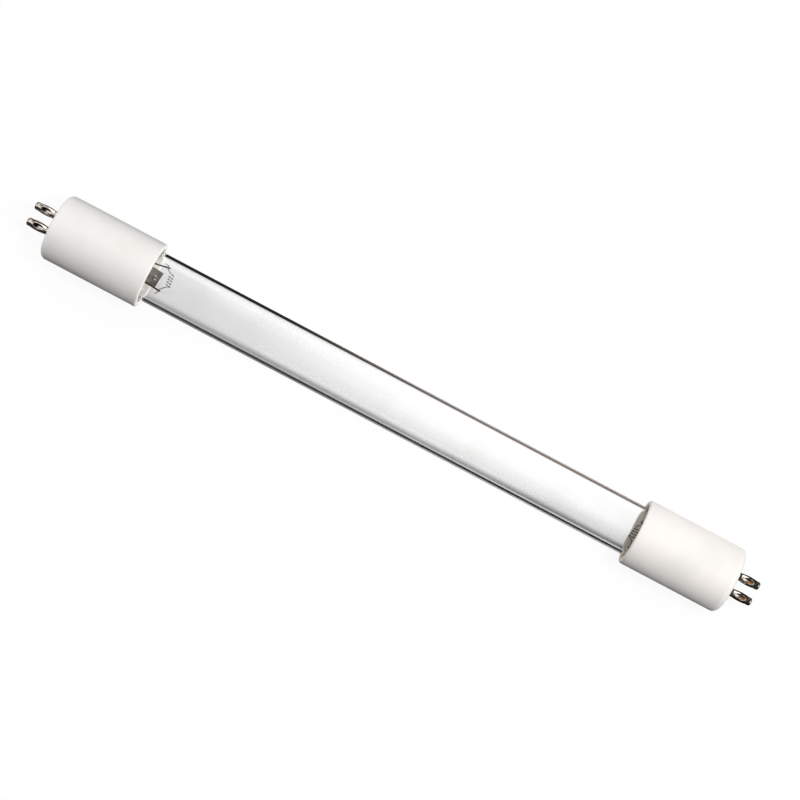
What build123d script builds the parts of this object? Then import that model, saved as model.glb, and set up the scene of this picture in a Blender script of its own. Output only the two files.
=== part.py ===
"""Germicidal fluorescent tube: clear quartz glass, a ceramic cap with two staked pins on each end.

Frame in mm: the lamp lies along X with its middle at the origin, the two pins of each cap stand
side by side along Y, and Z is up. Each end is drawn pointing along +X in its own right-hand frame;
the left end is the same drawing turned half a turn about Z, so its +Y pin becomes its front pin.
"""
import os
from math import atan2, degrees

from build123d import *

# Whole lamp
face_to_face = 215.5
pin_reach = 7.6
pin_spacing = 5.0

# Ceramic cap, a cup closed at the pin end
cap_diameter = 19.8
cap_length = 30.8
cap_bore_diameter = 17.0
cap_floor = 5.0
cap_end_rounding = 1.9
cap_mouth_rounding = 0.6
cap_bore_lip_rounding = 0.35
cap_floor_rounding = 1.0

# Quartz envelope: straight tube, domed shoulders, a flat pinch seal at each end
tube_diameter = 15.0
tube_wall = 1.0
shoulder_left = -77.2
shoulder_right = 80.2
dome_knuckle = 3.2
dome_crown = 8.5
pinch_length = 9.5
pinch_width = 10.0
pinch_thickness = 3.2
pinch_corner = 1.2
pinch_end_rounding = 0.4
exhaust_tip_diameter = 3.2
exhaust_tip_height = 4.7

# Pins: riveted through the cap floor and staked on the lead wire inside them
pin_diameter = 2.36
pin_shank_diameter = 1.96
pin_bore_diameter = 1.2
pin_tip_rounding = 0.65
rivet_diameter = 3.4
rivet_thickness = 0.6
stake_start = 1.9
stake_end = 6.2
stake_swell = 0.18
stake_floor = 0.78
stake_punch_radius = 0.95
stake_punch_sweep = 3.2
stake_punch_half_length = 2.2
stake_bore_lap = 0.4

# Wires, foils and the filament thread
outer_lead_diameter = 0.8
inner_lead_diameter = 0.5
foil_length = 6.4
foil_width = 2.0
foil_thickness = 0.04
foil_overlap = 1.6
foil_start = 7.4
thread_diameter = 0.27
left_coil_diameter = 1.5
right_coil_diameter = 1.95
hook_return = 0.9
hook_crossing = 0.45
lead_entry = 3.75
leg_rounding = 0.18
lead_rounding = 0.5

# Amalgam plate welded under the left front lead
plate_length = 4.0
plate_width = 5.0
plate_thickness = 0.2
plate_corner = 0.1
plate_weld_depth = 0.05
plate_centre = (76.65, 0.07)
plate_turn = -5.5
pip_length = 0.85
pip_width = 0.44
pip_height = 0.1
pip_places = [(-0.55, -0.64), (-0.8, 0.27)]

# Basing cement plug, measured from the lamp's middle
cement_start = 83.0
cement_end = 94.0

end_plane = face_to_face / 2
mouth_plane = end_plane - cap_length
floor_plane = end_plane - cap_floor
pin_tip = end_plane + pin_reach
tube_radius = tube_diameter / 2
dome_centre = ((dome_crown - dome_knuckle) ** 2 - (tube_radius - dome_knuckle) ** 2) ** 0.5
dome_depth = dome_crown - dome_centre
lead_radius = inner_lead_diameter / 2
thread_radius = thread_diameter / 2
hook_radius = lead_radius + thread_radius
pin_y = pin_spacing / 2


def rod(x_from, x_to, diameter, y=0.0, z=0.0):
    """A round bar along X."""
    middle = Pos((x_from + x_to) / 2, y, z)
    return middle * Rot(0, 90, 0) * Cylinder(diameter / 2, x_to - x_from)


def turned(profile):
    """A solid turned about X from a closed list of edges in the XY plane."""
    return revolve(make_face(profile), Axis.X)


def wire(path, diameter):
    """A round wire carried along a path."""
    section = Plane(origin=path @ 0, z_dir=path % 0) * Circle(diameter / 2)
    return sweep(section, path=path)


def round_ended(inset):
    """The tube's outside, or its hollow when set in by the wall: a long rod with a dome past each shoulder.

    Each dome is a dished head: a knuckle arc tangent to the tube, then a crown arc centred on the axis.
    """
    radius = tube_radius - inset
    knuckle = dome_knuckle - inset
    crown = dome_crown - inset
    hub = tube_radius - dome_knuckle
    meet = degrees(atan2(hub, dome_centre))
    left_crown = shoulder_left + dome_centre
    right_crown = shoulder_right - dome_centre
    profile = [
        CenterArc((left_crown, 0), crown, 180 - meet, meet),
        CenterArc((shoulder_left, hub), knuckle, 90, 90 - meet),
        Line((shoulder_left, radius), (shoulder_right, radius)),
        CenterArc((shoulder_right, hub), knuckle, meet, 90 - meet),
        CenterArc((right_crown, 0), crown, 0, meet),
        Line((right_crown + crown, 0), (left_crown - crown, 0)),
    ]
    return turned(profile)


def pinch(shoulder):
    """The flat that the press leaves where the hot tube end is squeezed shut on the foils."""
    start = shoulder + dome_depth / 2
    end = shoulder + dome_depth + pinch_length
    block = Pos((start + end) / 2, 0, 0) * Box(end - start, pinch_width, pinch_thickness)
    block = fillet(block.edges().filter_by(Axis.X), pinch_corner)
    return fillet(block.faces().sort_by(Axis.X)[-1].edges(), pinch_end_rounding)


def exhaust_tip(shoulder):
    """The sealed-off stub of the pumping tube, beside the pinch."""
    radius = exhaust_tip_diameter / 2
    end = shoulder + dome_depth
    stem = rod(shoulder + dome_depth / 3, end, exhaust_tip_diameter, z=exhaust_tip_height)
    return stem + Pos(end, 0, exhaust_tip_height) * Sphere(radius)


def cap():
    """The ceramic cup: turned outside and bore, with two pin holes through its floor."""
    outside = rod(mouth_plane, end_plane, cap_diameter)
    rims = outside.edges().filter_by(GeomType.CIRCLE).sort_by(Axis.X)
    outside = fillet(rims[-1], cap_end_rounding)
    rims = outside.edges().filter_by(GeomType.CIRCLE).sort_by(Axis.X)
    outside = fillet(rims[0], cap_mouth_rounding)
    hollow = rod(mouth_plane, floor_plane, cap_bore_diameter)
    floor_edge = hollow.edges().filter_by(GeomType.CIRCLE).sort_by(Axis.X)[-1]
    cup = outside - fillet(floor_edge, cap_floor_rounding)
    lip = cup.edges().filter_by(GeomType.CIRCLE).filter_by(
        lambda edge: abs(edge.center().X - mouth_plane) < 1e-6
    ).sort_by(SortBy.RADIUS)[0]
    cup = fillet(lip, cap_bore_lip_rounding)
    for y in (-pin_y, pin_y):
        cup -= rod(floor_plane, end_plane, pin_shank_diameter, y)
    return cup


def staking_punch(side):
    """The lemon-shaped dent that the staking tool leaves in the top or bottom of a pin."""
    middle = end_plane + (stake_start + stake_end) / 2
    half = stake_punch_half_length
    drop = stake_punch_sweep - (stake_punch_sweep**2 - half**2) ** 0.5
    tall = stake_punch_radius
    crown = ThreePointArc((-half, tall - drop), (0, tall), (half, tall - drop))
    left = Line((-half, 0), (-half, tall - drop))
    right = Line((half, tall - drop), (half, 0))
    lemon = turned([left, crown, right, Line((half, 0), (-half, 0))])
    return Pos(middle, 0, side * (stake_floor + stake_punch_radius)) * lemon


def pin():
    """One hollow contact pin on the X axis: rivet head, shank, shouldered contact and staked waist."""
    shank = pin_shank_diameter / 2
    contact = pin_diameter / 2
    head = floor_plane - rivet_thickness
    start = end_plane + stake_start
    end = end_plane + stake_end
    shoulder_of_tip = pin_tip - pin_tip_rounding
    diagonal = pin_tip_rounding * 0.5**0.5
    outline = [
        Line((head, 0), (head, rivet_diameter / 2)),
        Line((head, rivet_diameter / 2), (floor_plane, rivet_diameter / 2)),
        Line((floor_plane, rivet_diameter / 2), (floor_plane, shank)),
        Line((floor_plane, shank), (end_plane, shank)),
        Line((end_plane, shank), (end_plane, contact)),
        Line((end_plane, contact), (start, contact)),
        ThreePointArc((start, contact), ((start + end) / 2, contact + stake_swell), (end, contact)),
        Line((end, contact), (shoulder_of_tip, contact)),
        ThreePointArc(
            (shoulder_of_tip, contact),
            (shoulder_of_tip + diagonal, contact - pin_tip_rounding + diagonal),
            (pin_tip, contact - pin_tip_rounding),
        ),
        Line((pin_tip, contact - pin_tip_rounding), (pin_tip, 0)),
        Line((pin_tip, 0), (head, 0)),
    ]
    body = turned(outline)
    body -= rod(head, start + stake_bore_lap, pin_bore_diameter)
    body -= rod(start, end - stake_bore_lap, outer_lead_diameter)
    for side in (-1, 1):
        body -= staking_punch(side)
    return body


def foil(shoulder, y):
    """The molybdenum foil that carries the current through the pinch."""
    start = shoulder + foil_start
    return Pos(start + foil_length / 2, y, 0) * Box(foil_length, foil_width, foil_thickness)


def weld_flat(x_from, x_to, y):
    """What is coined off a wire where it is welded on a foil's upper face."""
    below = (Align.CENTER, Align.CENTER, Align.MAX)
    face = Pos((x_from + x_to) / 2, y, foil_thickness / 2)
    return face * Box(x_to - x_from, foil_width, outer_lead_diameter, align=below)


def outer_lead(shoulder, y):
    """The straight wire from the foil's outer end to the stake in the pin."""
    weld_end = shoulder + foil_start + foil_length
    start = weld_end - foil_overlap
    lead = rod(start, end_plane + stake_end - stake_bore_lap, outer_lead_diameter, y)
    return lead - weld_flat(start, weld_end, y)


def inner_lead(shoulder, y, bends, tip):
    """The wire from the foil to the filament, its end folded over the filament's leg."""
    weld_start = shoulder + foil_start
    root = (weld_start + foil_overlap, y)
    run = FilletPolyline(root, *bends, tip, radius=lead_rounding)
    ahead = Vector(run % 1) * hook_radius
    low = Vector(*tip, 0)
    high = low + Vector(0, 0, 2 * hook_radius)
    fold = ThreePointArc(low, low + ahead + Vector(0, 0, hook_radius), high)
    back = Line(high, high - Vector(run % 1) * hook_return)
    lead = wire(Wire(run.edges() + fold.edges() + back.edges()), inner_lead_diameter)
    return lead - weld_flat(weld_start, weld_start + foil_overlap, y)


def through_hook(tip, last_bend):
    """Where the filament's leg enters and leaves a folded hook: the point nearer the axis, then the other."""
    along = (Vector(*tip) - Vector(*last_bend)).normalized()
    across = Vector(-along.Y, along.X) * hook_crossing
    middle = Vector(*tip, hook_radius)
    return sorted((middle - across, middle + across), key=lambda point: abs(point.Y))


def at_thread_height(points):
    """Points of the XY plane lifted to the height of the filament."""
    return [Vector(x, y, hook_radius) for x, y in points]


def filament(start, end, coil_diameter, turns, legs):
    """A coil of tungsten thread along a straight axis, with a leg led away from each of its ends."""
    first, last = at_thread_height([start, end])
    axis = last - first
    seat = Plane(origin=first, x_dir=(-axis.Y, axis.X, 0), z_dir=axis)
    coil_radius = (coil_diameter - thread_diameter) / 2
    spine = seat.location * Helix(axis.length / turns, axis.length, coil_radius)
    section = Plane(origin=spine @ 0, z_dir=spine % 0) * Circle(thread_radius)
    thread = sweep(section, path=spine, is_frenet=True)
    for place, points in zip((0, 1), legs):
        thread += Pos(spine @ place) * Sphere(thread_radius)
        leg = FilletPolyline(spine @ place, *points, radius=leg_rounding)
        thread += wire(leg, thread_diameter)
    return thread


def electrode(shoulder, low_bends, low_tip, high_bends, high_tip, coil, low_leg, high_leg):
    """Two inner leads and the filament hung between their hooks.

    The coil is (start, end, diameter, turns), and each leg is (points to the hook, loose tail).
    """
    low = inner_lead(shoulder, -pin_y, low_bends, low_tip)
    high = inner_lead(shoulder, pin_y, high_bends, high_tip)
    low_hook = through_hook(low_tip, low_bends[-1])
    high_hook = through_hook(high_tip, high_bends[-1])
    legs = [
        at_thread_height(low_leg[0]) + low_hook + at_thread_height(low_leg[1]),
        at_thread_height(high_leg[0]) + high_hook + at_thread_height(high_leg[1]),
    ]
    return low, high, filament(*coil, legs)


def amalgam_plate():
    """The plate that carries the mercury amalgam, welded under a lead and marked by two long pressed pips."""
    top = plate_weld_depth - lead_radius
    seat = Pos(*plate_centre, top) * Rot(0, 0, plate_turn)
    deep = (Align.CENTER, Align.CENTER, Align.MAX)
    sheet = Box(plate_length, plate_width, plate_thickness, align=deep)
    sheet = fillet(sheet.edges().filter_by(Axis.Z), plate_corner)
    half_width = pip_width / 2
    half_run = pip_length / 2 - half_width
    radius = (half_width**2 + pip_height**2) / (2 * pip_height)
    sunk = pip_height - radius
    capsule = rod(-half_run, half_run, 2 * radius, z=sunk)
    for x in (-half_run, half_run):
        capsule += Pos(x, 0, sunk) * Sphere(radius)
    pip = split(capsule, Plane.XY, keep=Keep.TOP)
    for x, y in pip_places:
        sheet += Pos(x, y, 0) * pip
    return seat * sheet


# Right electrode: the coil hangs in the plane of the cap's mouth
right_inside = shoulder_right + lead_entry
right_set = electrode(
    shoulder_right,
    low_bends=[(right_inside, -pin_y), (right_inside - 1.4, -3.5)],
    low_tip=(77.85, -4.8),
    high_bends=[(right_inside, pin_y)],
    high_tip=(77.7, 3.05),
    coil=((76.9, -1.9), (77.45, 1.3), right_coil_diameter, 4),
    low_leg=([(76.5, -2.2), (77.2, -2.4), (77.6, -3.1)], [(78.4, -5.6)]),
    high_leg=([(77.15, 1.85)], [(77.1, 3.9)]),
)

# Left electrode: leads bent inside the seal, coil clear of the cap, plate on the high lead
left_seal = -shoulder_left + foil_start - lead_rounding
left_set = electrode(
    -shoulder_left,
    low_bends=[(left_seal, -pin_y)],
    low_tip=(73.95, -4.26),
    high_bends=[(left_seal, pin_y), (79.0, 2.33)],
    high_tip=(73.48, 2.66),
    coil=((72.15, -2.7), (71.6, 0.5), left_coil_diameter, 4),
    low_leg=([(72.05, -3.05), (72.75, -3.15), (73.35, -3.5)], [(74.5, -4.95), (75.3, -4.92)]),
    high_leg=([(71.75, 0.68), (72.43, 1.24), (72.95, 1.95)], [(73.85, 3.6), (74.27, 4.06)]),
)

# Both ends put together: where each stands, and what its low and high sides are called there
ends = {
    "right": (Pos(0, 0, 0), shoulder_right, right_set, ("front", "back")),
    "left": (Rot(0, 0, 180), -shoulder_left, left_set, ("back", "front")),
}
glass_outside = round_ended(0) + exhaust_tip(shoulder_right)
for place, shoulder, _, _ in ends.values():
    glass_outside += place * pinch(shoulder)

nodes = {}
sealed_in_glass = []
for end, (place, shoulder, electrode_set, sides) in ends.items():
    outer_leads = []
    for y, inner, side in zip((-pin_y, pin_y), electrode_set, sides):
        outer = place * outer_lead(shoulder, y)
        strip = place * foil(shoulder, y)
        nodes[f"{end}_{side}_pin"] = place * Pos(0, y, 0) * pin()
        nodes[f"{end}_{side}_outer_lead"] = outer
        nodes[f"{end}_{side}_foil"] = strip
        nodes[f"{end}_{side}_inner_lead"] = place * inner
        outer_leads.append(outer)
        sealed_in_glass += [outer, strip, place * inner]
    nodes[f"{end}_filament"] = place * electrode_set[2]
    nodes[f"{end}_cap"] = place * cap()
    plug = place * rod(cement_start, cement_end, cap_bore_diameter)
    nodes[f"{end}_cement"] = plug - [glass_outside, *outer_leads]

nodes["glass_tube"] = glass_outside - round_ended(tube_wall) - sealed_in_glass
nodes["amalgam_plate"] = ends["left"][0] * amalgam_plate()
nodes["left_front_inner_lead"] -= nodes["amalgam_plate"]

os.makedirs("parts", exist_ok=True)
for name, piece in nodes.items():
    solid = piece.solid()
    solid.label = name
    export_step(solid, f"parts/{name}.step")
    print(name, round(solid.volume, 3), "mm3")
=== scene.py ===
# %% [markdown]
# # A germicidal tube, dressed for its portrait
#
# The lamp is a clear quartz tube with a coiled filament at each end, cemented into two white ceramic caps.
# The CAD model already holds every solid at its true size and place. This lesson lays fine skins and
# finishes over it: pieces that light bends through or glides along are drawn again as smooth surfaces,
# and the rest keep their CAD shape and get a better material.

import bpy
import numpy as np
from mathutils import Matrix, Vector


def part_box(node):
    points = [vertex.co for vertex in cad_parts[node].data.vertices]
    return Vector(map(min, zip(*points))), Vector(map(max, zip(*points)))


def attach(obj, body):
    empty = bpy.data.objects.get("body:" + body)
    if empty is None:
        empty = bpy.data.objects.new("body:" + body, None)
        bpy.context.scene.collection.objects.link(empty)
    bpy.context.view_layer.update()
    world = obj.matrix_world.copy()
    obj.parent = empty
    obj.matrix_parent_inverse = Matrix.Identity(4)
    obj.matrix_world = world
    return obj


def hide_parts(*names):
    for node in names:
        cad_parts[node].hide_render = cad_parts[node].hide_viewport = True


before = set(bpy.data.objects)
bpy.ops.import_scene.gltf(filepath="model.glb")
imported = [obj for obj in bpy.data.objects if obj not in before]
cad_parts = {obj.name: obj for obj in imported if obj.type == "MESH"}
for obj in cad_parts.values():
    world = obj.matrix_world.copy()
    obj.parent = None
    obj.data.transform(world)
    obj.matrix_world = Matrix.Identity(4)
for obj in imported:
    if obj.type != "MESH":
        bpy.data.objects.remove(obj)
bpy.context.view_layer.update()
mm = 0.001
print("CAD pieces:", len(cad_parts))

# %% [markdown]
# ## Sizes taken from the solids
#
# The main sizes are read from the CAD pieces. The lamp lies along X with its middle at the origin, so the
# highest corner of a piece's box gives its radius, and the lowest and highest x tell where it starts and
# ends. Each end of the lamp is drawn pointing along +X, and the left one is then turned half a turn about Z.

# %% Read the main sizes
cap_low, cap_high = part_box("right_cap")
mouth_plane = cap_low.x
end_plane = cap_high.x
cap_radius = cap_high.y
bore_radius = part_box("right_cement")[1].y
tube_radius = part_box("glass_tube")[1].y
glass_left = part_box("glass_tube")[0].x
glass_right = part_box("glass_tube")[1].x
rivet_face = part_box("right_front_pin")[0].x
pin_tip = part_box("right_front_pin")[1].x
pin_offset = sum(corner.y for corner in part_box("right_back_pin")) / 2
half_turn = np.array([-1.0, -1.0, 1.0])
end_turns = {"right": np.ones(3), "left": half_turn}
print("cap radius", round(cap_radius / mm, 2), "mm, tube radius", round(tube_radius / mm, 2), "mm")

# %% [markdown]
# ## Drawing tools for turned shapes
#
# Caps, pins and glass are all turned shapes: a profile carried round an axis. A profile is a list of
# (x, radius) points, written as straight runs and arcs. Blender's Screw modifier could turn it, but with
# numpy the radius can still change with the angle, which the dented pins and the flattened glass need.


# %% Profiles from runs and arcs
def run(start, end, count=2):
    """Points on a straight line from start to end, both (x, radius)."""
    return np.linspace(start, end, count)


def arc(centre, radius, first, last, count=12):
    """Points on a circle, from one angle to another in degrees: centre + radius * (cos, sin)."""
    turn = np.radians(np.linspace(first, last, count))
    return np.array(centre) + radius * np.stack([np.cos(turn), np.sin(turn)], axis=-1)


def joined(*stretches):
    """The stretches one after the other, without the points that two neighbours share."""
    points = np.concatenate(stretches)
    step = np.linalg.norm(np.diff(points, axis=0), axis=1)
    return points[np.concatenate([[True], step > 1e-9])]


# %% Rings, skins and pieces
def around(count):
    """Angles of one full turn, from +Y towards +Z."""
    return np.linspace(0, 2 * np.pi, count, endpoint=False)


def rings(x, half_width, half_height, angle):
    """One ring for each x: the points (x, half_width * cos, half_height * sin) at every angle."""
    parts = (x[:, None] + 0 * angle, half_width * np.cos(angle), half_height * np.sin(angle))
    return np.stack(np.broadcast_arrays(*parts), axis=-1)


def turned(profile, count):
    """Rings of a profile turned about X."""
    radius = profile[:, 1:]
    return rings(profile[:, 0], radius, radius, around(count))


def closed_skin(loops):
    """Faces over rings of points: quads join each ring to the next, and a fan closes each end.

    Point k of ring i has the number i * n + k, and the last two points are the end rings' middles. Rings
    that go along +X give faces that look outwards; rings that go back give a hollow's inner face.
    """
    count, n, _ = loops.shape
    here = np.arange(n)
    ahead = np.roll(here, -1)
    base = n * np.arange(count - 1)[:, None]
    quads = np.stack([base + here, base + ahead, base + n + ahead, base + n + here], axis=-1)
    far = n * (count - 1)
    first_fan = np.stack([np.full(n, count * n), ahead, here], axis=-1)
    last_fan = np.stack([np.full(n, count * n + 1), far + here, far + ahead], axis=-1)
    points = np.concatenate([loops.reshape(-1, 3), loops[[0, -1]].mean(axis=1)])
    return points, [*quads.reshape(-1, 4).tolist(), *first_fan.tolist(), *last_fan.tolist()]


def new_piece(name, skins, node):
    """A smooth mesh of one or more closed skins that rides on the lamp and stands for a CAD node."""
    points, faces = [], []
    for skin_points, skin_faces in skins:
        start = sum(len(block) for block in points)
        faces += [[start + corner for corner in face] for face in skin_faces]
        points.append(skin_points)
    mesh = bpy.data.meshes.new(name)
    mesh.from_pydata(np.concatenate(points), [], faces)
    mesh.shade_smooth()
    piece = bpy.data.objects.new(name, mesh)
    bpy.context.scene.collection.objects.link(piece)
    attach(piece, "root")
    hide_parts(node)
    print(name, "has", len(faces), "faces")
    return piece


def mark(piece, name, values):
    """Store one number per point on a piece's mesh, for its material to read."""
    attribute = piece.data.attributes.new(name, "FLOAT", "POINT")
    attribute.data.foreach_set("value", values.ravel())


# %% [markdown]
# ## The quartz envelope
#
# The real envelope is a drawn tube whose ends were heated, domed in and pinched flat on the foils that carry
# the current. Light bends at both walls, so facets would show as ripples: the skin has 256 points around.
# The outside and the hollow are two skins of one mesh, each with its faces turned away from the glass,
# which is what Blender's glass needs to know where it enters and leaves.

# %% The domed ends
tube_wall = 1.0 * mm
dome_knuckle = 3.2 * mm
dome_crown = 8.5 * mm
pinch_length = 9.5 * mm
dome_hub = tube_radius - dome_knuckle
dome_centre = np.sqrt((dome_crown - dome_knuckle) ** 2 - dome_hub**2)
dome_depth = dome_crown - dome_centre
dome_meet = np.degrees(np.arctan2(dome_hub, dome_centre))
shoulders = {
    "left": -glass_left - pinch_length - dome_depth,
    "right": glass_right - pinch_length - dome_depth,
}


def dome(shoulder, inset):
    """A dished head from the tube's shoulder to the axis: a knuckle arc, then a crown arc.

    Both radii are smaller by the inset, which is the wall for the hollow and nothing for the outside.
    """
    knuckle = arc((shoulder, dome_hub), dome_knuckle - inset, 90, dome_meet, 16)
    crown = arc((shoulder - dome_centre, 0), dome_crown - inset, dome_meet, 0.5, 24)
    return joined(knuckle, crown)


def mirrored(profile):
    """The same profile at the other end of the lamp, in order from left to right."""
    return profile[::-1] * (-1, 1)


print("shoulders at", {end: round(x / mm, 1) for end, x in shoulders.items()}, "mm")

# %% The hollow
glass_sides = 256
hollow = joined(mirrored(dome(shoulders["left"], tube_wall)), dome(shoulders["right"], tube_wall))
hollow_skin = closed_skin(turned(hollow[::-1], glass_sides))
print("the hollow's profile has", len(hollow), "points")

# %% The outside with its pinches
pinch_half_width = 5.0 * mm
pinch_half_height = 1.6 * mm
pinch_blend = 0.8 * mm
pinch_end_rounding = 0.4 * mm


def larger(a, b, blend):
    """The larger of two sizes, with a rounded change-over: (a + b + root((a - b)^2 + blend^2)) / 2."""
    return (a + b + np.sqrt((a - b) ** 2 + blend**2)) / 2


def pinched_end(shoulder):
    """Columns x, half width, half height and squareness from the shoulder to the end of the pinch.

    Along the dome each half size is the larger of the dome's radius and the pinch's; squareness goes from
    0, a circle, to 1, a rounded oblong.
    """
    x, radius = dome(shoulder, 0).T
    flat_x = np.linspace(x[-1], x[-1] + pinch_length - pinch_end_rounding, 20)[1:]
    lip = np.radians(np.linspace(10, 85, 6))
    lip_x = flat_x[-1] + pinch_end_rounding * np.sin(lip)
    lip_cut = pinch_end_rounding * (1 - np.cos(lip))
    cut = np.concatenate([np.zeros(len(x) + len(flat_x)), lip_cut])
    all_x = np.concatenate([x, flat_x, lip_x])
    all_radius = np.concatenate([radius, np.zeros(len(flat_x) + len(lip_x))])
    share = np.clip((all_x - shoulder) / dome_depth, 0, 1)
    square = share**2 * (3 - 2 * share)
    width = larger(all_radius, pinch_half_width, pinch_blend * square) - cut
    height = larger(all_radius, pinch_half_height, pinch_blend * square) - cut
    return np.stack([all_x, width, height, square], axis=-1)


ends = {end: pinched_end(shoulder) for end, shoulder in shoulders.items()}
left_end = ends["left"][::-1] * (-1, 1, 1, 1)
x, width, height, square = np.concatenate([left_end, ends["right"]]).T[..., None]
angle = around(glass_sides)
# A rounded oblong: the ellipse times (|cos|^p + |sin|^p)^(-1 / p), where p = 2 leaves it as it is.
power = 2 + 4 * square
bulge = (np.abs(np.cos(angle)) ** power + np.abs(np.sin(angle)) ** power) ** (-1 / power)
outside_skin = closed_skin(rings(x[:, 0], width * bulge, height * bulge, angle))
print("the outside has", len(x), "rings")

# %% The pumping stub beside the right pinch
stub_radius = 1.6 * mm
stub_height = 4.7 * mm
stub_sides = 48
stub_end = shoulders["right"] + dome_depth
stub_start = stub_end - 2 * dome_depth / 3
stub = joined(
    run((stub_start, 0.3 * stub_radius), (stub_start, stub_radius)),
    run((stub_start, stub_radius), (stub_end, stub_radius)),
    arc((stub_end, 0), stub_radius, 90, 3, 14),
)
stub_rings = turned(stub, stub_sides) + np.array([0, 0, stub_height])
envelope = new_piece(
    "quartz_envelope", [outside_skin, hollow_skin, closed_skin(stub_rings)], "glass_tube"
)

# %% [markdown]
# ## The ceramic caps
#
# Each cap is pressed from steatite powder and fired: a thick cup with a well rounded pin end and a sharper
# mouth. A bevelled cylinder would come close, but the profile is turned here, because firing leaves the wall
# a few hundredths out of round, and that faint unevenness keeps a white cylinder from looking drawn.

# %% One cap's profile
cap_end_rounding = 1.9 * mm
cap_mouth_rounding = 0.6 * mm
cap_lip_rounding = 0.35 * mm
cap_floor_rounding = 1.0 * mm
cap_floor = 5.0 * mm
floor_plane = end_plane - cap_floor
axis_gap = 0.2 * mm
cap_profile = joined(
    run((floor_plane, axis_gap), (floor_plane, bore_radius - cap_floor_rounding), 10),
    arc((floor_plane - cap_floor_rounding, bore_radius - cap_floor_rounding), cap_floor_rounding, 0, 90),
    run((floor_plane - cap_floor_rounding, bore_radius), (mouth_plane + cap_lip_rounding, bore_radius), 24),
    arc((mouth_plane + cap_lip_rounding, bore_radius + cap_lip_rounding), cap_lip_rounding, 270, 180),
    run((mouth_plane, bore_radius + cap_lip_rounding), (mouth_plane, cap_radius - cap_mouth_rounding), 4),
    arc((mouth_plane + cap_mouth_rounding, cap_radius - cap_mouth_rounding), cap_mouth_rounding, 180, 90),
    run((mouth_plane + cap_mouth_rounding, cap_radius), (end_plane - cap_end_rounding, cap_radius), 60),
    arc((end_plane - cap_end_rounding, cap_radius - cap_end_rounding), cap_end_rounding, 90, 0, 20),
    run((end_plane, cap_radius - cap_end_rounding), (end_plane, axis_gap), 24),
)
print("a cap's profile has", len(cap_profile), "points")

# %% Fire the two caps
cap_sides = 192
least_sag = 0.006 * mm
firing_sag = 0.03 * mm


def fired(loops, phase):
    """Rings drawn in towards the axis by slow waves round and along the cap.

    The wave is (2 + sin(2 turn) + sin(3 turn - 4 along)) / 4 with the cap's own phase, and the sag goes
    with it from the least sag to the firing sag.
    """
    turn = np.arctan2(loops[..., 2], loops[..., 1])
    along = (loops[..., 0] - mouth_plane) / (end_plane - mouth_plane)
    wave = (2 + np.sin(2 * turn + phase) + np.sin(3 * turn - 4 * along + 2 * phase)) / 4
    size = np.hypot(loops[..., 1], loops[..., 2])
    sag = least_sag + (firing_sag - least_sag) * wave
    keep = 1 - sag / np.maximum(size, cap_radius / 2)
    return np.stack([loops[..., 0], loops[..., 1] * keep, loops[..., 2] * keep], axis=-1)


caps = {}
for phase, (end, turn) in enumerate(end_turns.items()):
    cap_rings = fired(turned(cap_profile, cap_sides), phase) * turn
    caps[end] = new_piece(f"{end}_ceramic_cap", [closed_skin(cap_rings)], f"{end}_cap")

# %% [markdown]
# ## The staked contact pins
#
# A pin is a drawn brass tube with nickel plating, riveted into the cap. The lead wire runs up inside it, and
# a punch then squeezes the pin on the wire, which leaves a lemon-shaped dent on two sides and swells the
# waist. Cutting with a Boolean would leave a hard crease, so the dent is worked into the radius itself:
# where the punch reaches deeper than the wall, the radius follows the punch, with a small rounding between.

# %% The pin's profile
contact_radius = 1.18 * mm
shank_radius = 0.98 * mm
pin_bore_radius = 0.6 * mm
pin_tip_rounding = 0.65 * mm
stake_start = end_plane + 1.9 * mm
stake_end = end_plane + 6.2 * mm
stake_swell = 0.18 * mm
rivet_radius = 1.7 * mm
bore_end = stake_start + 0.4 * mm
stake_middle = (stake_start + stake_end) / 2
stake_half = (stake_end - stake_start) / 2
waist = np.linspace(-1, 1, 80)
waist_radius = contact_radius + stake_swell * (1 - waist**2)
waist_run = np.stack([stake_middle + stake_half * waist, waist_radius], axis=-1)
pin_profile = joined(
    run((bore_end, 0.2 * pin_bore_radius), (bore_end, pin_bore_radius)),
    run((bore_end, pin_bore_radius), (rivet_face, pin_bore_radius)),
    run((rivet_face, pin_bore_radius), (rivet_face, rivet_radius), 4),
    run((rivet_face, rivet_radius), (floor_plane, rivet_radius)),
    run((floor_plane, rivet_radius), (floor_plane, shank_radius)),
    run((floor_plane, shank_radius), (end_plane, shank_radius)),
    run((end_plane, shank_radius), (end_plane, contact_radius)),
    run((end_plane, contact_radius), (stake_start, contact_radius), 12),
    waist_run,
    run((stake_end, contact_radius), (pin_tip - pin_tip_rounding, contact_radius), 8),
    arc((pin_tip - pin_tip_rounding, contact_radius - pin_tip_rounding), pin_tip_rounding, 90, 0, 14),
    run((pin_tip, contact_radius - pin_tip_rounding), (pin_tip, 0.1 * contact_radius), 5),
)
print("a pin's profile has", len(pin_profile), "points")

# %% The punch and the dent it leaves
punch_radius = 0.95 * mm
punch_sweep = 3.2 * mm
punch_half_length = 2.2 * mm
dent_floor = 0.78 * mm
dent_edge = 0.06 * mm
clear_of_wall = 1.0 * mm
pin_sides = 96


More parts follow.
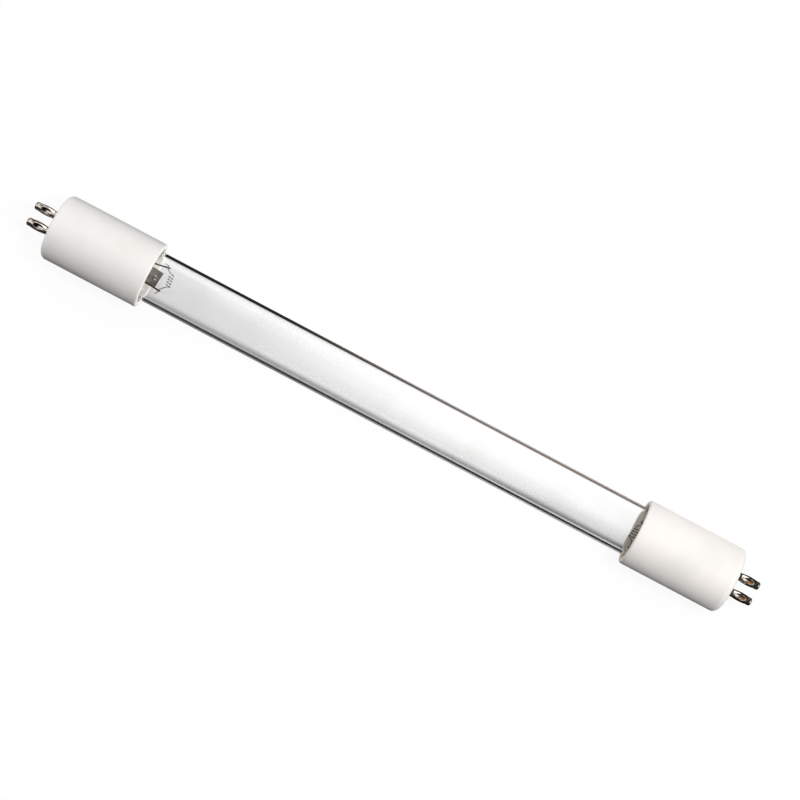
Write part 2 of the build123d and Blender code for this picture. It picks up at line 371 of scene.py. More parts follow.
def staked(profile, angle):
    """Rings of the pin with a dent above and below, and each point's depth inside the dent, from 0 to 1.

    The punch is a lemon lying along X over the pin, its radius rho the punch radius less the sagitta of its
    sweep. Along a spoke at this angle it is met at c |sin| - root(rho^2 - c^2 cos^2), c being its height.
    """
    x, wall = profile[:, :1], profile[:, 1:]
    place = x - stake_middle
    inside = np.abs(place) < punch_half_length
    sagitta = punch_sweep - np.sqrt(np.maximum(punch_sweep**2 - place**2, 0))
    rho = np.where(inside, punch_radius - sagitta, 0)
    height = dent_floor + punch_radius
    under = rho**2 - (height * np.cos(angle)) ** 2
    met = height * np.abs(np.sin(angle)) - np.sqrt(np.maximum(under, 0))
    met = np.where((under > 0) & inside, met, wall + clear_of_wall)
    cut = (wall + met - np.sqrt((wall - met) ** 2 + dent_edge**2)) / 2
    radius = np.where(inside, cut, wall + 0 * angle)
    depth = np.clip((wall - radius) / (contact_radius + stake_swell - dent_floor), 0, 1)
    return rings(profile[:, 0], radius, radius, angle), depth


pin_rings, dent_depth = staked(pin_profile, around(pin_sides))
pin_x = pin_rings[..., 0]
dent_along = np.clip((pin_x - stake_middle) / punch_half_length, -1, 1)
waist_points = pin_rings[(pin_x > bore_end) & (pin_x < stake_end)]
print("the dent's floor is", round(np.hypot(*waist_points.T[1:]).min() / mm, 2), "mm from the pin's axis")

# %% Set the four pins in their caps
pins = {}
for end, turn in end_turns.items():
    for side, y in {"front": -pin_offset, "back": pin_offset}.items():
        name = f"{end}_{side}"
        placed = pin_rings * turn + np.array([0, y, 0])
        pins[name] = new_piece(f"{name}_contact_pin", [closed_skin(placed)], f"{name}_pin")
        mark(pins[name], "dent_depth", np.append(dent_depth, [0, 0]))
        mark(pins[name], "dent_along", np.append(dent_along, [0, 0]))
        mark(pins[name], "dent_across", np.append((placed[..., 1] - y) / contact_radius, [0, 0]))

# %% [markdown]
# ## The tungsten filaments
#
# A filament is wound twice: hair-fine wire is coiled into a thread, and the thread is coiled again and hung
# between the two lead hooks. The CAD solid is a plain round thread. Here the thread's line is worked out
# first, legs and coil, and then the fine wire is wound round that line, a helix carried along a helix.

# %% The thread's line
thread_radius = 0.135 * mm
thread_height = 0.385 * mm
line_step = 0.02 * mm
corner_softness = 15


def coil_line(start, end, coil_radius, turns):
    """A helix round the line from start to end: it begins on the side towards the lamp's middle."""
    start, end = (np.array([*point, thread_height / mm]) * mm for point in (start, end))
    axis = (end - start) / np.linalg.norm(end - start)
    side = np.array([-axis[1], axis[0], 0])
    rise = np.cross(axis, side)
    share = np.linspace(0, 1, int(turns * 2 * np.pi * coil_radius / line_step))[:, None]
    turn = 2 * np.pi * turns * share
    spoke = side * np.cos(turn) + rise * np.sin(turn)
    return start + (end - start) * share + coil_radius * spoke, spoke


def leg_line(start, points):
    """A leg through points of the XY plane, sampled evenly; a running mean then makes its bends round."""
    corners = np.concatenate([[start], [[*(np.array(point) * mm), thread_height] for point in points]])
    length = np.concatenate([[0], np.cumsum(np.linalg.norm(np.diff(corners, axis=0), axis=1))])
    sample = np.arange(0, length[-1], line_step)
    line = np.stack([np.interp(sample, length, column) for column in corners.T], axis=-1)
    padded = np.pad(line, ((corner_softness, corner_softness), (0, 0)), mode="edge")
    kernel = np.ones(2 * corner_softness + 1) / (2 * corner_softness + 1)
    return np.stack([np.convolve(column, kernel, mode="valid") for column in padded.T], axis=-1)


# %% Wind the fine wire round the line
fine_wire_radius = 0.035 * mm
fine_pitch = 0.105 * mm
fine_steps = 14
fine_sides = 7
guide_change = 0.6 * mm


def directions(line):
    """Unit tangents of a line of points."""
    ahead = np.gradient(line, axis=0)
    return ahead / np.linalg.norm(ahead, axis=1, keepdims=True)


def square_to(tangent, guide):
    """A unit vector square to the tangent, as near to the guide as it can be."""
    across = guide - tangent * np.sum(guide * tangent, axis=1, keepdims=True)
    return across / np.linalg.norm(across, axis=1, keepdims=True)


def wound(line, guide):
    """The fine wire round a line.

    At arc length s the wire's middle stands off the line, square to it, by cos and sin of 2 pi s / pitch.
    """
    length = np.concatenate([[0], np.cumsum(np.linalg.norm(np.diff(line, axis=0), axis=1))])
    s = np.arange(0, length[-1], fine_pitch / fine_steps)
    middle = np.stack([np.interp(s, length, column) for column in line.T], axis=-1)
    leaning = np.stack([np.interp(s, length, column) for column in guide.T], axis=-1)
    tangent = directions(middle)
    across = square_to(tangent, leaning)
    turn = 2 * np.pi * s[:, None] / fine_pitch
    stand_off = across * np.cos(turn) + np.cross(tangent, across) * np.sin(turn)
    wire = middle + (thread_radius - fine_wire_radius) * stand_off
    wire_tangent = directions(wire)
    spoke = square_to(wire_tangent, stand_off)
    other = np.cross(wire_tangent, spoke)
    a = around(fine_sides)[:, None]
    return wire[:, None] + fine_wire_radius * (spoke[:, None] * np.cos(a) + other[:, None] * np.sin(a))


def filament(coil, low_leg, high_leg):
    """The whole thread from one leg's loose tail, through the coil, to the other tail.

    The winding starts from a guide: the coil's own spokes, which change to straight up along each leg.
    """
    coil, spokes = coil_line(*coil)
    low = leg_line(coil[0], low_leg)[::-1]
    high = leg_line(coil[-1], high_leg)
    up = np.array([0, 0, 1.0])
    fade = np.clip(np.arange(max(len(low), len(high))) * line_step / guide_change, 0, 1)[:, None]
    low_guide = (spokes[0] * (1 - fade) + up * fade)[: len(low)][::-1]
    high_guide = (spokes[-1] * (1 - fade) + up * fade)[: len(high)]
    line = np.concatenate([low, coil[1:-1], high])
    guide = np.concatenate([low_guide, spokes[1:-1], high_guide])
    return closed_skin(wound(line, guide))


# %% Hang the two filaments
right_filament = filament(
    coil=((76.9, -1.9), (77.45, 1.3), 0.84 * mm, 4),
    low_leg=[(76.5, -2.2), (77.2, -2.4), (77.6, -3.1), (77.73, -4.37), (77.97, -5.23), (78.4, -5.6)],
    high_leg=[(77.15, 1.85), (77.66, 2.6), (77.74, 3.5), (77.1, 3.9)],
)
left_filament = filament(
    coil=((72.15, -2.7), (71.6, 0.5), 0.615 * mm, 4),
    low_leg=[(72.05, -3.05), (72.75, -3.15), (73.35, -3.5), (73.87, -3.82)]
    + [(74.03, -4.7), (74.5, -4.95), (75.3, -4.92)],
    high_leg=[(71.75, 0.68), (72.43, 1.24), (72.95, 1.95), (73.45, 2.21)]
    + [(73.51, 3.11), (73.85, 3.6), (74.27, 4.06)],
)
filaments = {}
for end, (points, faces) in {"right": right_filament, "left": left_filament}.items():
    skin = (points * end_turns[end], faces)
    filaments[end] = new_piece(f"{end}_coiled_filament", [skin], f"{end}_filament")

# %% [markdown]
# ## Shader tools
#
# Every finish below reads Object coordinates, so its grain keeps its real size in metres on any piece. What
# several finishes share, such as grain, drawing lines and stains, is a node group that is built once. A
# group only works out masks and heights; the shader that uses them stays in each material. Colours are
# written as they look on a screen, from 0 to 255, and turned into the linear numbers that shaders add up.


# %% Nodes by name
def add(tree, kind, joins=None, **values):
    """Add a shader node: values fill its input sockets by name, and joins link other outputs to them."""
    node = tree.nodes.new(f"ShaderNode{kind}")
    for name, value in values.items():
        node.inputs[name.replace("_", " ")].default_value = value
    for name, socket in (joins or {}).items():
        tree.links.new(socket, node.inputs[name])
    return node


def ranged(tree, value, low, high, to_low, to_high):
    """A smooth step: to_low below low, to_high above high."""
    step = add(tree, "MapRange", {"Value": value})
    step.interpolation_type = "SMOOTHSTEP"
    for socket, number in zip(step.inputs[1:5], (low, high, to_low, to_high)):
        socket.default_value = number
    return step.outputs["Result"]


def blended(tree, share, first, second):
    """A colour between two: each is a colour or another node's output."""
    mix = tree.nodes.new("ShaderNodeMix")
    mix.data_type = "RGBA"
    tree.links.new(share, mix.inputs[0])
    for socket, colour in zip(mix.inputs[6:8], (first, second)):
        if isinstance(colour, bpy.types.NodeSocket):
            tree.links.new(colour, socket)
        else:
            socket.default_value = colour
    return mix.outputs[2]


def product(tree, first, second, operation="MULTIPLY"):
    """Two values multiplied, or joined by another Math operation."""
    node = tree.nodes.new("ShaderNodeMath")
    node.operation = operation
    for socket, value in zip(node.inputs, (first, second)):
        if isinstance(value, bpy.types.NodeSocket):
            tree.links.new(value, socket)
        else:
            socket.default_value = value
    return node.outputs[0]


def paint(red, green, blue):
    """A display colour of 0 to 255 as the linear colour that a shader works with."""
    display = np.array([red, green, blue]) / 255
    linear = np.where(display < 0.04045, display / 12.92, ((display + 0.055) / 1.055) ** 2.4)
    return (*linear.tolist(), 1.0)


# %% Shared effects as node groups
def new_group(name, inputs, outputs):
    """An empty node group with a Place input, named number inputs and named number outputs."""
    tree = bpy.data.node_groups.new(name, "ShaderNodeTree")
    tree.interface.new_socket("Place", in_out="INPUT", socket_type="NodeSocketVector")
    for label, value in inputs.items():
        tree.interface.new_socket(label, in_out="INPUT", socket_type="NodeSocketFloat").default_value = value
    for label in outputs:
        tree.interface.new_socket(label, in_out="OUTPUT", socket_type="NodeSocketFloat")
    return tree, tree.nodes.new("NodeGroupInput").outputs, tree.nodes.new("NodeGroupOutput").inputs


grain_group, given, result = new_group("pressed_grain", {"Grains per metre": 2500.0}, ("Tone", "Height"))
cloud_joins = {"Vector": given["Place"], "Scale": given["Grains per metre"]}
cloud = add(grain_group, "TexNoise", cloud_joins, Detail=5.0)
pit_scale = product(grain_group, given["Grains per metre"], 0.6)
pits = add(grain_group, "TexVoronoi", {"Vector": given["Place"], "Scale": pit_scale})
pitted = ranged(grain_group, pits.outputs["Distance"], 0.05, 0.35, 0.0, 1.0)
grain_group.links.new(cloud.outputs[0], result["Tone"])
grain_group.links.new(product(grain_group, cloud.outputs[0], pitted), result["Height"])

lines_group, given, result = new_group("drawing_lines", {"Lines per metre": 9000.0}, ("Lines",))
stretch = add(lines_group, "VectorMath", {0: given["Place"]})
stretch.operation = "MULTIPLY"
stretch.inputs[1].default_value = (0.02, 1.0, 1.0)
streak_joins = {"Vector": stretch.outputs[0], "Scale": given["Lines per metre"]}
streaks = add(lines_group, "TexNoise", streak_joins, Detail=3.0)
lines_group.links.new(streaks.outputs[0], result["Lines"])

stain_group, given, result = new_group("stains", {"Patches per metre": 200.0, "Cover": 0.5}, ("Mask",))
patch_joins = {"Vector": given["Place"], "Scale": given["Patches per metre"]}
patches = add(stain_group, "TexNoise", patch_joins, Detail=4.0)
share = product(stain_group, patches.outputs[0], given["Cover"], "ADD")
stain_group.links.new(ranged(stain_group, share, 0.85, 1.15, 0.0, 1.0), result["Mask"])
print("node groups:", [tree.name for tree in bpy.data.node_groups])


# %% A material to start from
def new_finish(name, **values):
    """A material with its node tree, its Principled shader with these values set, and Object coordinates."""
    material = bpy.data.materials.new(name)
    material.use_nodes = True
    tree = material.node_tree
    shader = tree.nodes["Principled BSDF"]
    for label, value in values.items():
        shader.inputs[label.replace("_", " ")].default_value = value
    place = tree.nodes.new("ShaderNodeTexCoord").outputs["Object"]
    return material, tree, shader, place


def effect(tree, group, place, **values):
    """A shared effect placed in a material with its own values."""
    node = tree.nodes.new("ShaderNodeGroup")
    node.node_tree = group
    tree.links.new(place, node.inputs["Place"])
    for label, value in values.items():
        node.inputs[label.replace("_", " ")].default_value = value
    return node.outputs


def bumped(tree, shader, height, strength, distance):
    """Lay a height on a shader as bump, with its depth in metres."""
    bump = add(tree, "Bump", {"Height": height}, Strength=strength, Distance=distance)
    tree.links.new(bump.outputs[0], shader.inputs["Normal"])


# %% Places on the lamp
ends_meet = 10 * mm


def right_share(tree, place):
    """0 at the lamp's left end and 1 at its right end, with a soft change about the middle."""
    along = add(tree, "SeparateXYZ", {0: place}).outputs["X"]
    return ranged(tree, along, -ends_meet, ends_meet, 0.0, 1.0)


def distance_to(tree, place, point):
    """How far each place is from a point, in metres."""
    node = add(tree, "VectorMath", {0: place})
    node.operation = "DISTANCE"
    node.inputs[1].default_value = point
    return node.outputs["Value"]


# %% [markdown]
# ## Quartz
#
# Fused quartz is clearer than window glass and bends light a little less. Drawing leaves faint lines along
# the tube, and use leaves faint grey patches. Lamps send their light straight through: a Transparent shader
# stands in for shadow rays, because bent light from a lamp would need far more samples to arrive.

# %% The quartz finish
quartz, tree, shader, place = new_finish("clear_quartz", IOR=1.458, Transmission_Weight=1.0, Roughness=0.0)
bake_mask = effect(tree, stain_group, place, Patches_per_metre=60.0, Cover=0.35)["Mask"]
tint = blended(tree, bake_mask, paint(253, 253, 253), paint(249, 249, 248))
tree.links.new(tint, shader.inputs["Base Color"])
drawn = effect(tree, lines_group, place, Lines_per_metre=900.0)["Lines"]
bumped(tree, shader, drawn, 0.04, 0.02 * mm)
lamp_pass = add(tree, "BsdfTransparent", Color=(0.98, 0.98, 0.98, 1.0))
choice = add(tree, "MixShader", {0: tree.nodes.new("ShaderNodeLightPath").outputs["Is Shadow Ray"]})
tree.links.new(shader.outputs[0], choice.inputs[1])
tree.links.new(lamp_pass.outputs[0], choice.inputs[2])
tree.links.new(choice.outputs[0], tree.nodes["Material Output"].inputs["Surface"])
print(quartz.name, "has", len(tree.nodes), "nodes")

# %% [markdown]
# ## Ceramic and cement
#
# Steatite is a dense white with a satin skin: tiny pits, a little cloudiness, and a few grey smudges from
# handling. The right cap is a shade creamier than the left. Inside the mouths the lamp's own rays have baked
# the ceramic to a straw tint, and light and shade are painted into it: near white in the left mouth and
# darker in the right. The cement behind the mouth is coarser and greyer. Both share the grain group at
# different sizes.

# %% The ceramic finish
ceramic, tree, shader, place = new_finish("satin_steatite", IOR=1.5, Specular_IOR_Level=0.3)
grain = effect(tree, grain_group, place, Grains_per_metre=2200.0)
smudge = effect(tree, stain_group, place, Patches_per_metre=90.0, Cover=0.46)["Mask"]
right_end = right_share(tree, place)
cloudy = blended(tree, right_end, paint(239, 237, 235), paint(242, 237, 233))
milky = blended(tree, right_end, paint(245, 243, 241), paint(248, 243, 239))
clean = blended(tree, grain["Tone"], cloudy, milky)
smudged = blended(tree, smudge, clean, paint(238, 235, 231))
across = add(tree, "VectorMath", {0: place})
across.operation = "MULTIPLY"
across.inputs[1].default_value = (0.0, 1.0, 1.0)
from_axis = add(tree, "VectorMath", {0: across.outputs[0]})
from_axis.operation = "LENGTH"
baked = ranged(tree, from_axis.outputs["Value"], bore_radius, bore_radius + cap_lip_rounding, 1.0, 0.0)
along = add(tree, "SeparateXYZ", {0: place}).outputs["X"]
from_middle = product(tree, along, 0.0, "ABSOLUTE")
in_bore = product(tree, baked, ranged(tree, from_middle, end_plane - 1 * mm, end_plane, 1.0, 0.0))
# Painted light and shade in the mouths: the straw tint is near white in the left mouth and darker in the
# right.
straw_and_painted_light = blended(tree, right_end, paint(250, 247, 241), paint(241, 228, 211))
tree.links.new(blended(tree, in_bore, smudged, straw_and_painted_light), shader.inputs["Base Color"])
tree.links.new(ranged(tree, grain["Tone"], 0.3, 0.7, 0.42, 0.56), shader.inputs["Roughness"])
bumped(tree, shader, grain["Height"], 0.25, 0.01 * mm)
print(ceramic.name, "has", len(tree.nodes), "nodes")

# %% The cement finish
cement, tree, shader, place = new_finish("basing_cement")
grain = effect(tree, grain_group, place, Grains_per_metre=1400.0)
damp = effect(tree, stain_group, place, Patches_per_metre=250.0, Cover=0.5)["Mask"]
dry = blended(tree, grain["Tone"], paint(205, 200, 192), paint(232, 228, 221))
tree.links.new(blended(tree, damp, dry, paint(196, 190, 180)), shader.inputs["Base Color"])
tree.links.new(ranged(tree, grain["Tone"], 0.3, 0.7, 0.75, 0.95), shader.inputs["Roughness"])
bumped(tree, shader, grain["Height"], 0.8, 0.15 * mm)
print(cement.name, "has", len(tree.nodes), "nodes")

# %% [markdown]
# ## Nickel pins
#
# Bright nickel covers the brass, with fine lines from the drawing die. Where the punch struck, the plating
# is broken: the dent has a painted highlight on the cap's side, and shows brown brass towards the tip and on
# its far wall, painted near black on the left pins as shade. The pins carry three marks made with their
# shape: how deep a point lies in the dent, how far along it and how far across. The mix of nickel, painted
# highlight, brass and painted shade follows them.

# %% The nickel finish
nickel, tree, shader, place = new_finish("staked_nickel", Metallic=1.0)
lines = effect(tree, lines_group, place, Lines_per_metre=7000.0)["Lines"]
tarnish = effect(tree, stain_group, place, Patches_per_metre=1500.0, Cover=0.45)["Mask"]
plated = blended(tree, tarnish, paint(228, 219, 209), paint(188, 176, 163))
marks = {}
for name in ("dent_depth", "dent_along", "dent_across"):
    reader = tree.nodes.new("ShaderNodeAttribute")
    reader.attribute_name = name
    marks[name] = reader.outputs["Fac"]
struck = ranged(tree, marks["dent_depth"], 0.06, 0.3, 0.0, 1.0)
tip_half = ranged(tree, marks["dent_along"], -0.25, 0.15, 0.0, 1.0)
back_wall = ranged(tree, marks["dent_across"], 0.1, 0.35, 0.0, 1.0)
# Painted shade and brass: the dent's tip half and far wall are brown brass on the right pins and near black
# on the left pins, standing for shade.
brass_and_painted_shade_mask = product(tree, struck, product(tree, tip_half, back_wall, "MAXIMUM"))
brass_and_painted_shade = blended(tree, right_share(tree, place), paint(46, 34, 28), paint(150, 106, 70))
# Painted highlight: on the cap's side the struck dent is a brighter nickel than the plating.
plated_with_painted_highlight = blended(tree, struck, plated, paint(238, 228, 219))
tree.links.new(blended(tree, brass_and_painted_shade_mask, plated_with_painted_highlight, brass_and_painted_shade), shader.inputs["Base Color"])
drawn_gloss = ranged(tree, lines, 0.3, 0.7, 0.07, 0.13)
dent_gloss = product(tree, struck, 0.2)
tree.links.new(product(tree, drawn_gloss, dent_gloss, "ADD"), shader.inputs["Roughness"])
bumped(tree, shader, lines, 0.15, 0.01 * mm)
print(nickel.name, "has", len(tree.nodes), "nodes")

# %% [markdown]
# ## Wires, coil, foil and plate
#
# Inside the glass every metal has been through a furnace, so nothing shines: the leads are dull grey with
# darker scale, the coils are nearly black, with a painted highlight on the top and bottom of the left coil's
# thread, and the plate that holds the amalgam is brown grey, painted light at its end by the mouth's rim and
# dark at its other end, with painted highlights on its pips and a darker mark between them. One hook still
# shows the brassy tint of its weld.


# %% Furnace-dulled metals
def dulled_metal(name, bright, scale, roughness, patches):
    """A drawn metal between a bright colour and the darker scale on it, with its drawing lines as bump."""
    material, tree, shader, place = new_finish(name, Metallic=1.0)
    lines = effect(tree, lines_group, place, Lines_per_metre=6000.0)["Lines"]
    scaled = effect(tree, stain_group, place, Patches_per_metre=patches, Cover=0.55)["Mask"]
    colour = blended(tree, scaled, bright, scale)
    tree.links.new(colour, shader.inputs["Base Color"])
    gloss = ranged(tree, lines, 0.3, 0.7, roughness - 0.08, roughness + 0.08)
    tree.links.new(gloss, shader.inputs["Roughness"])
    bumped(tree, shader, lines, 0.2, 0.01 * mm)
    print(name, "is a dulled metal of roughness", roughness)
    return material, tree, shader, place, colour


outer_wire = dulled_metal("outer_lead_wire", paint(200, 194, 186), paint(160, 152, 142), 0.35, 700.0)[0]
foil = dulled_metal("molybdenum_foil", paint(176, 176, 180), paint(140, 138, 140), 0.3, 500.0)[0]

# %% The coils, with a painted highlight on the left coil's thread
highlight_start = 0.42 * mm
highlight_full = 0.62 * mm
tungsten, tree, shader, place, colour = dulled_metal(
    "coil_tungsten", paint(60, 57, 54), paint(34, 32, 30), 0.34, 900.0
)
height = add(tree, "SeparateXYZ", {0: place}).outputs["Z"]
left_coil = product(tree, 1.0, right_share(tree, place), "SUBTRACT")
# Painted highlight: near the top and bottom of the left coil's thread the wire turns pale and non-metal.
highlight_above = ranged(tree, height, thread_height + highlight_start, thread_height + highlight_full, 0.0, 1.0)
highlight_below = ranged(tree, height, thread_height - highlight_full, thread_height - highlight_start, 1.0, 0.0)
coil_painted_highlight = product(tree, product(tree, highlight_above, left_coil), highlight_below, "MAXIMUM")
tree.links.new(blended(tree, coil_painted_highlight, colour, paint(228, 224, 219)), shader.inputs["Base Color"])
tree.links.new(product(tree, 1.0, coil_painted_highlight, "SUBTRACT"), shader.inputs["Metallic"])

# %% The inner leads and the brassy hook
inner_wire, tree, shader, place, colour = dulled_metal(
    "inner_lead_wire", paint(116, 112, 106), paint(74, 70, 66), 0.42, 800.0
)
brassy_hook = (-73.2 * mm, -2.67 * mm, thread_height)
welded = ranged(tree, distance_to(tree, place, brassy_hook), 0.4 * mm, 0.9 * mm, 1.0, 0.0)
tree.links.new(blended(tree, welded, colour, paint(146, 116, 64)), shader.inputs["Base Color"])

# %% The amalgam plate
plate, tree, shader, place = new_finish("amalgam_plate", Metallic=0.6)
plate_low, plate_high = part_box("amalgam_plate")
grain = effect(tree, grain_group, place, Grains_per_metre=3000.0)
patina = effect(tree, stain_group, place, Patches_per_metre=600.0, Cover=0.5)["Mask"]
axes = add(tree, "SeparateXYZ", {0: place}).outputs
# Painted light: the plate is lightened at its left end by the mouth's rim, where the bore shades it, and
# runs to dark brown at its right end.
tip_side = ranged(tree, axes["X"], plate_low.x, plate_high.x, 0.0, 1.0)
painted_light_ramp = blended(tree, tip_side, paint(180, 171, 161), paint(80, 68, 66))
patina_and_painted_light = blended(tree, patina, painted_light_ramp, paint(128, 114, 106))
# The plate is darker in a patch between the two pips.
between_pips = (-76.15 * mm, -0.2 * mm, plate_high.z)
dark_between_pips = ranged(tree, distance_to(tree, place, between_pips), 0.3 * mm, 0.9 * mm, 1.0, 0.0)
plate_colour_and_painted_light = blended(tree, dark_between_pips, patina_and_painted_light, paint(72, 60, 58))
# Painted highlight on the tops of the pips.
pip_painted_highlight = ranged(tree, axes["Z"], plate_high.z - 0.08 * mm, plate_high.z - 0.02 * mm, 0.0, 1.0)
tree.links.new(blended(tree, pip_painted_highlight, plate_colour_and_painted_light, paint(240, 234, 228)), shader.inputs["Base Color"])
tree.links.new(ranged(tree, grain["Tone"], 0.3, 0.7, 0.45, 0.65), shader.inputs["Roughness"])
bumped(tree, shader, grain["Height"], 0.3, 0.02 * mm)
print(plate.name, "has", len(tree.nodes), "nodes")

# %% Dress every piece
finishes = {
    "glass_tube": quartz,
    "cap": ceramic,
    "cement": cement,
    "pin": nickel,
    "outer_lead": outer_wire,
    "inner_lead": inner_wire,
    "foil": foil,
    "filament": tungsten,
    "amalgam_plate": plate,
}
for name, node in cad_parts.items():
    kind = next(kind for kind in finishes if name.endswith(kind))
    node.data.materials.clear()
    node.data.materials.append(finishes[kind])
envelope.data.materials.append(quartz)
for group, material in ((caps, ceramic), (pins, nickel), (filaments, tungsten)):
    for piece in group.values():
        piece.data.materials.append(material)
new_pieces = 1 + len(caps) + len(pins) + len(filaments)
print("dressed", len(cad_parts), "CAD nodes and", new_pieces, "new pieces")

# %% [markdown]
# ## The studio
#
# The lamp lies on white paper. The camera meets the paper as white by Light Path, while its own colour is
# a dark grey, so that it throws little light up under the lamp and still keeps the lamp's soft shadow.

# %% The paper
paper_size = 3.0
paper_mesh = bpy.data.meshes.new("paper")
corners = np.array([(-1, -1), (1, -1), (1, 1), (-1, 1)]) * paper_size
paper_mesh.from_pydata(np.column_stack([corners, np.full(4, -cap_radius)]), [], [(0, 1, 2, 3)])
paper = bpy.data.objects.new("paper", paper_mesh)
bpy.context.scene.collection.objects.link(paper)
print("paper at", round(-cap_radius / mm, 2), "mm")

# %% [markdown]
# ## What the glass shows of the paper
#
# Seen through the tube, the paper is shaded: the tube itself takes light from it, most on the near side and
# towards the left end. Lamps that shade it so would need many samples through two walls of glass, so the
# levels are written on the paper as smooth steps across Y, one set for each end of the lamp, mixed along X.


# %% Levels across the paper
def stepped(tree, value, steps):
    """The sum of smooth steps: start and end in millimetres, then the level before and the level after."""
    total = 0.0
    for start, end, before, after in steps:
        total = product(tree, ranged(tree, value, start * mm, end * mm, before, after), total, "ADD")
    return total


def grey(level):
    """A plain grey as a linear colour."""
    return (level, level, level, 1.0)


paper_finish, tree, shader, place = new_finish("white_paper")
tree.nodes.remove(shader)
rays = tree.nodes.new("ShaderNodeLightPath").outputs
axes = add(tree, "SeparateXYZ", {0: place}).outputs
left_steps = [(-8.5, -5.2, 0.39, 0.62), (-4.0, 0.5, 0.0, 0.04), (4.0, 9.5, 0.0, 0.34)]
right_steps = [(-8.6, -5.4, 0.0, 0.6), (-7.0, 1.5, 0.0, 0.38), (4.8, 9.0, 0.0, 0.12)]
left_level = stepped(tree, axes["Y"], left_steps)
right_base = stepped(tree, axes["Y"], right_steps)
glint_depth = ranged(tree, axes["X"], 10 * mm, 60 * mm, 0.1, 0.28)
glint = product(tree, ranged(tree, axes["Y"], -11.5 * mm, -8.8 * mm, 1.0, 0.0), glint_depth)
lift_depth = ranged(tree, axes["X"], 10 * mm, 60 * mm, 0.22, 0.03)
lift = product(tree, ranged(tree, axes["Y"], -7 * mm, -4 * mm, 1.0, 0.0), lift_depth)
right_level = product(tree, right_base, product(tree, glint, lift, "ADD"), "ADD")
through = blended(tree, ranged(tree, axes["X"], -90 * mm, 25 * mm, 0.0, 1.0), left_level, right_level)
print("levels in", len(left_steps), "steps at the left and", len(right_steps), "at the right")

# %% The white paper
clear = blended(tree, rays["Is Transmission Ray"], grey(0.0), through)
shown = blended(tree, rays["Is Camera Ray"], clear, grey(0.895))
fibre = effect(tree, stain_group, place, Patches_per_metre=40.0, Cover=0.5)["Mask"]
pulp = blended(tree, fibre, grey(0.11), (0.108, 0.108, 0.107, 1.0))
matt = add(tree, "BsdfDiffuse", {"Color": pulp})
glow = add(tree, "Emission", {"Color": shown}, Strength=1.0)
white_paper = add(tree, "AddShader", {0: matt.outputs[0], 1: glow.outputs[0]})
print(paper_finish.name, "has", len(tree.nodes), "nodes so far")

# %% [markdown]
# ## The dark edges of the glass
#
# Light that was turned back inside the tube's wall comes from far to the side, where a studio is dark. That
# draws a thin dark line along each edge of the tube, brownish and finer towards the right. The paper is dark
# to such rays where they land, and to most of what metal mirrors of it.


# %% The dark edge lines
def turned_back(tree, rays):
    """1 for a ray that the glass has thrown back at least once, 0 for any other."""
    return product(tree, rays["Glossy Depth"], 0.5, "GREATER_THAN")


line_narrowing = 1.2 * mm
right_side = ranged(tree, axes["X"], -45 * mm, 40 * mm, 0.0, 1.0)
line_start = ranged(tree, axes["Y"], 9.9 * mm, 11.1 * mm, 0.0, 1.0)
narrowed = product(tree, axes["Y"], product(tree, right_side, line_narrowing), "ADD")
line_end = ranged(tree, narrowed, 17 * mm, 18.5 * mm, 1.0, 0.0)
left_side = product(tree, 1.0, right_side, "SUBTRACT")
upper_line = product(tree, product(tree, line_start, left_side, "MAXIMUM"), line_end)
line_colour = blended(tree, right_side, (0.015, 0.012, 0.01, 1.0), paint(90, 48, 22))
upper_edge = blended(tree, upper_line, grey(0.9), line_colour)
low_end = ranged(tree, axes["Y"], -11.3 * mm, -10.1 * mm, 1.0, 0.0)
beside_line = blended(tree, right_side, grey(0.45), grey(0.8))
low_colour = blended(tree, right_side, grey(0.03), grey(0.004))
low_glint_start = ranged(tree, axes["Y"], -36 * mm, -31 * mm, 0.0, 1.0)
low_glint_end = ranged(tree, axes["Y"], -20.5 * mm, -19.5 * mm, 1.0, 0.0)
beside_glint = product(tree, 1.0, product(tree, low_glint_start, low_glint_end), "SUBTRACT")
lower_edge = blended(tree, product(tree, low_end, beside_glint), beside_line, low_colour)
edge = blended(tree, ranged(tree, axes["Y"], -1 * mm, 1 * mm, 0.0, 1.0), lower_edge, upper_edge)
print("edge lines made, with", len(tree.nodes), "nodes so far")

# %% The mirrored paper and the whole finish
far_paper = ranged(tree, axes["Y"], 24 * mm, 40 * mm, 0.05, 0.95)
mirrored_paper = product(tree, far_paper, ranged(tree, axes["X"], 88 * mm, 100 * mm, 1.0, 0.05))
answer = blended(tree, rays["Is Transmission Ray"], mirrored_paper, edge)
dark_paper = add(tree, "Emission", {"Color": answer}, Strength=1.0)
not_through = product(tree, 1.0, rays["Is Transmission Ray"], "SUBTRACT")
sideways = product(tree, turned_back(tree, rays), not_through, "MAXIMUM")
astray = product(tree, rays["Is Glossy Ray"], sideways)
both = add(tree, "MixShader", {0: astray})
tree.links.new(white_paper.outputs[0], both.inputs[1])
tree.links.new(dark_paper.outputs[0], both.inputs[2])
tree.links.new(both.outputs[0], tree.nodes["Material Output"].inputs["Surface"])
paper.data.materials.append(paper_finish)
print(paper_finish.name, "has", len(tree.nodes), "nodes")

# %% [markdown]
# ## The light
#
# The room is for what shines. A tall panel of soft light, brightest at the far horizon, draws the pale sheen
# along the glass and the cream tops of the left pins. Two side walls light the dents, and the dark gap
# between panel and right wall blackens the right pins. The room is made in the world as soft functions of
# direction, so that the glass mirrors no hard lamp edge.

